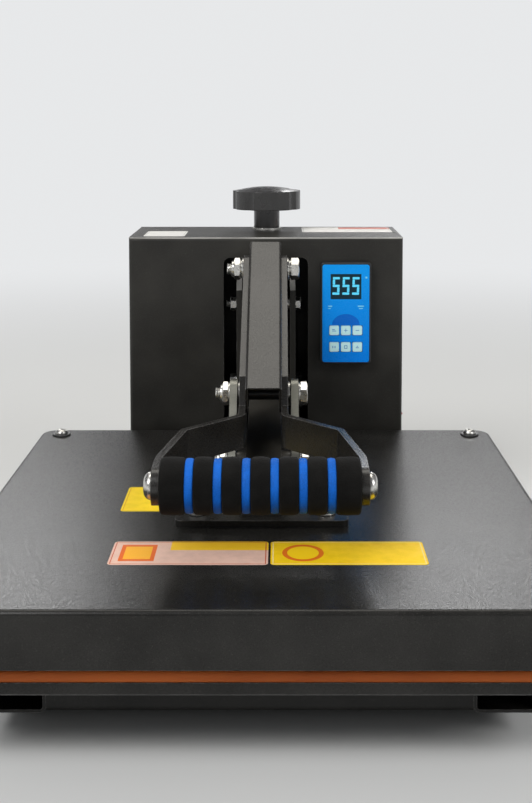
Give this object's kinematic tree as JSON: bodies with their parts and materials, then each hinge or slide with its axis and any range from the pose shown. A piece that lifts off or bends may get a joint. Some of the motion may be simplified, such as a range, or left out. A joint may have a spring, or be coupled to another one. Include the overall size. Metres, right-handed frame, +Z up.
{
  "type": "clamshell heat press",
  "caption": "Clamshell heat press: square heated platen under a black cover, toggle handle with foam grip, control box with panel, and pressure knob.",
  "frame": {"origin": "on the bench under the feet, at the middle of the outline seen from above", "axes": "+X to the operator's right, +Y to the rear, +Z up"},
  "size_m": [0.4, 0.536, 0.3158],
  "materials": {
    "black_powder_coat": "fine textured black powder coat with a few pale specks",
    "box_powder_coat": "fine textured black powder coat on folded sheet",
    "handle_paint": "satin black paint, slightly worn at the edges",
    "cast_aluminium": "machined cast aluminium",
    "steel_plate": "dark oiled steel",
    "orange_silicone": "smooth orange silicone",
    "black_rubber": "moulded rubber",
    "zinc_plate": "bright zinc-plated steel",
    "dark_washer": "blackened washers",
    "ceramic_wool": "white ceramic wool",
    "black_foam": "closed-cell foam",
    "blue_foam": "closed-cell foam in blue",
    "knob_plastic": "moulded black plastic",
    "controller_plastic": "moulded black plastic",
    "blue_panel": "printed blue film",
    "display_glass": "dark display window with pale digits",
    "key_film": "pale embossed film keys",
    "red_rocker": "red moulded plastic"
  },
  "bodies": {
    "frame": {"rubber_feet": "black_rubber", "base_rail_left": "black_powder_coat", "base_rail_right": "black_powder_coat", "front_crossbar": "black_powder_coat", "middle_crossbar": "black_powder_coat", "rear_crossbar": "black_powder_coat", "lower_platen": "black_powder_coat", "silicone_pad": "orange_silicone", "upright_left": "box_powder_coat", "upright_right": "box_powder_coat", "upright_bolts": "zinc_plate", "rod_bridge": "box_powder_coat", "hinge_axle": "zinc_plate", "upright_nuts": "zinc_plate", "lever_pin": "zinc_plate", "control_box": "box_powder_coat", "rear_panel": "box_powder_coat", "controller_housing": "controller_plastic", "controller_panel": "blue_panel", "display_window": "display_glass", "mains_inlet": "controller_plastic", "fuse_holder": "controller_plastic", "switch_bezel": "controller_plastic", "knob_washer": "zinc_plate"},
    "press": {"press_beam": "handle_paint", "mounting_plate": "black_powder_coat", "platen_studs": "zinc_plate", "stud_washers": "zinc_plate", "stud_nuts": "zinc_plate", "top_cover": "black_powder_coat", "heating_platen": "cast_aluminium", "insulation_blanket": "ceramic_wool", "cover_screws": "zinc_plate", "cover_washers": "dark_washer", "link_foot_bolt": "zinc_plate"},
    "lever": {"adjuster_lever": "box_powder_coat"},
    "trunnion": {"trunnion_nut": "steel_plate"},
    "knob": {"pressure_knob": "knob_plastic", "pressure_rod": "zinc_plate"},
    "handle": {"handle_channel": "handle_paint", "handle_plate_left": "handle_paint", "handle_plate_right": "handle_paint", "grip_core": "zinc_plate", "foam_grip": "black_foam", "grip_rings": "blue_foam", "grip_bolts": "zinc_plate", "handle_pivot_bolt": "zinc_plate", "knee_bolt": "zinc_plate", "pivot_washers": "zinc_plate", "pivot_nuts": "zinc_plate"},
    "links": {"link_left": "handle_paint", "link_right": "handle_paint", "knee_bolt_ends": "zinc_plate"},
    "power_switch": {"power_rocker": "red_rocker"},
    "key_1_body": {"key_1": "key_film"},
    "key_2_body": {"key_2": "key_film"},
    "key_3_body": {"key_3": "key_film"},
    "key_4_body": {"key_4": "key_film"},
    "key_5_body": {"key_5": "key_film"},
    "key_6_body": {"key_6": "key_film"}
  },
  "joints": [
    {"name": "press_hinge", "type": "hinge", "parent": "frame", "child": "press", "pos_m": [0, 0.185, 0.125], "axis": [-1, 0, 0], "range_deg": [0, 45]},
    {"name": "knob_turn", "type": "hinge", "parent": "frame", "child": "knob", "pos_m": [0, 0.235, 0.29], "axis": [0, 0, 1], "range_deg": [-720, 720]},
    {"name": "trunnion_slide", "type": "slide", "parent": "frame", "child": "trunnion", "axis": [0, 0, 1], "range_m": [-0.0036, 0.0036]},
    {"name": "lever_tilt", "type": "hinge", "parent": "frame", "child": "lever", "pos_m": [0, 0.168, 0.211], "axis": [1, 0, 0], "range_deg": [-3.1, 3.1]},
    {"name": "handle_pivot", "type": "hinge", "parent": "lever", "child": "handle", "pos_m": [0, 0.124, 0.249], "axis": [-1, 0, 0], "range_deg": [0, 80.5]},
    {"name": "link_pivot", "type": "hinge", "parent": "press", "child": "links", "pos_m": [0, -0.02, 0.118], "axis": [1, 0, 0], "range_deg": [0, 110.5]},
    {"name": "switch_rock", "type": "hinge", "parent": "frame", "child": "power_switch", "pos_m": [0.121, 0.205, 0.109], "axis": [0, 1, 0], "range_deg": [0, 20]},
    {"name": "key_1_press", "type": "slide", "parent": "frame", "child": "key_1_body", "axis": [0, 1, 0], "range_m": [0, 0.0005], "stiffness_N_per_m": 800, "springref_m": -0.001},
    {"name": "key_2_press", "type": "slide", "parent": "frame", "child": "key_2_body", "axis": [0, 1, 0], "range_m": [0, 0.0005], "stiffness_N_per_m": 800, "springref_m": -0.001},
    {"name": "key_3_press", "type": "slide", "parent": "frame", "child": "key_3_body", "axis": [0, 1, 0], "range_m": [0, 0.0005], "stiffness_N_per_m": 800, "springref_m": -0.001},
    {"name": "key_4_press", "type": "slide", "parent": "frame", "child": "key_4_body", "axis": [0, 1, 0], "range_m": [0, 0.0005], "stiffness_N_per_m": 800, "springref_m": -0.001},
    {"name": "key_5_press", "type": "slide", "parent": "frame", "child": "key_5_body", "axis": [0, 1, 0], "range_m": [0, 0.0005], "stiffness_N_per_m": 800, "springref_m": -0.001},
    {"name": "key_6_press", "type": "slide", "parent": "frame", "child": "key_6_body", "axis": [0, 1, 0], "range_m": [0, 0.0005], "stiffness_N_per_m": 800, "springref_m": -0.001}
  ],
  "couplings": [
    {"joint": "handle_pivot", "follows": "press_hinge", "ratio": 1.7754},
    {"joint": "link_pivot", "follows": "press_hinge", "ratio": 2.4408},
    {"joint": "trunnion_slide", "follows": "knob_turn", "m_per_rad": -0.00027852},
    {"joint": "lever_tilt", "follows": "knob_turn", "ratio": -0.004157}
  ]
}
